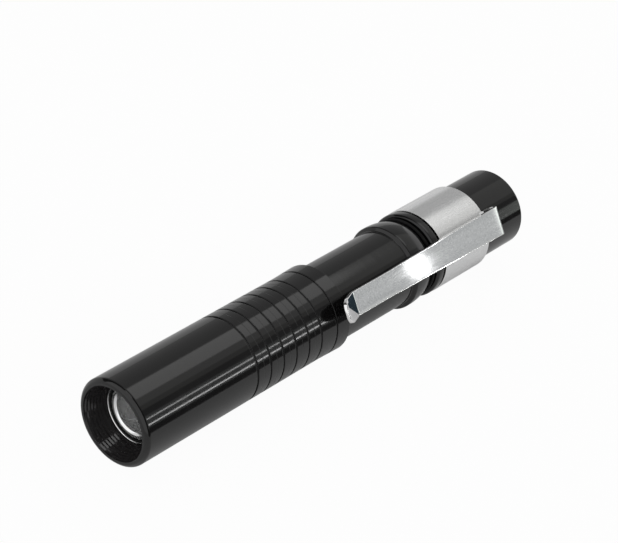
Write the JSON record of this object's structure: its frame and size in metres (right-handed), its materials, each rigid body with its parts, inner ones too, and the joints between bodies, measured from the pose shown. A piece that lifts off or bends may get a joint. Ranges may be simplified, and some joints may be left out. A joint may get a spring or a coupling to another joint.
{
  "type": "penlight",
  "caption": "Slim black aluminium penlight with a recessed lens, ringed grip, folded metal pocket clip on its tail, screw-off tail cap and tail push button.",
  "frame": {"origin": "centre of the tail's rear rim, which the penlight can stand on", "axes": "+Z along the axis from tail to head; the clip faces -Y"},
  "size_m": [0.0142, 0.0175, 0.0876],
  "materials": {
    "black_anodised": "gloss black anodised",
    "clip_steel": "bright nickel plate over fine brushing",
    "clear_lens": "clear polished",
    "black_rubber": "matt",
    "white_plastic": "matt white",
    "dark_plastic": "matt dark",
    "red_insulation": "gloss",
    "green_board": "solder mask",
    "grey_sleeve": "gloss",
    "cell_paste": "matt",
    "blue_seal": "matt",
    "bare_aluminium": "satin",
    "brass": "turned",
    "spring_brass": "gold flash",
    "cell_steel": "nickel plated"
  },
  "bodies": {
    "barrel": {"head": "black_anodised", "lens_gasket": "black_rubber", "lens": "clear_lens", "lens_holder": "white_plastic", "led_dome": "clear_lens", "led_base": "white_plastic", "led_board": "bare_aluminium", "led_leads": "red_insulation", "heat_sink": "brass", "driver_parts": "dark_plastic", "driver_board": "green_board", "front_spring": "spring_brass", "barrel": "black_anodised", "battery_sleeve": "grey_sleeve", "battery_can": "cell_steel", "battery_core": "cell_paste", "battery_seal": "blue_seal", "battery_plate": "cell_steel"},
    "clip_band": {"clip_band": "clip_steel"},
    "clip_plate": {"clip_plate": "clip_steel"},
    "tail_cap": {"tail_cap": "black_anodised", "tail_o_ring": "black_rubber", "tail_spring": "spring_brass", "retaining_ring": "brass", "switch_board": "green_board", "switch_housing": "dark_plastic", "switch_contact": "spring_brass", "switch_spring": "cell_steel"},
    "button": {"button": "black_rubber", "switch_plunger": "white_plastic"}
  },
  "joints": [
    {"name": "tail_travel", "type": "slide", "parent": "barrel", "child": "clip_band", "axis": [0, 0, -1], "range_m": [0, 0.0045]},
    {"name": "tail_turn", "type": "hinge", "parent": "clip_band", "child": "tail_cap", "pos_m": [0, 0, 0.0242], "axis": [0, 0, -1], "range_deg": [0, 1620]},
    {"name": "clip_flex", "type": "hinge", "parent": "clip_band", "child": "clip_plate", "pos_m": [0, -0.00755, 0.00805], "axis": [1, 0, 0], "range_deg": [0, 5], "stiffness_Nm_per_rad": 0.8, "springref_deg": -1.15},
    {"name": "button_press", "type": "slide", "parent": "tail_cap", "child": "button", "axis": [0, 0, 1], "range_m": [0, 0.0012], "stiffness_N_per_m": 600, "springref_m": -0.001, "deforming": ["switch_spring"]}
  ],
  "couplings": [
    {"joint": "tail_travel", "follows": "tail_turn", "m_per_rad": 0.00015915}
  ]
}
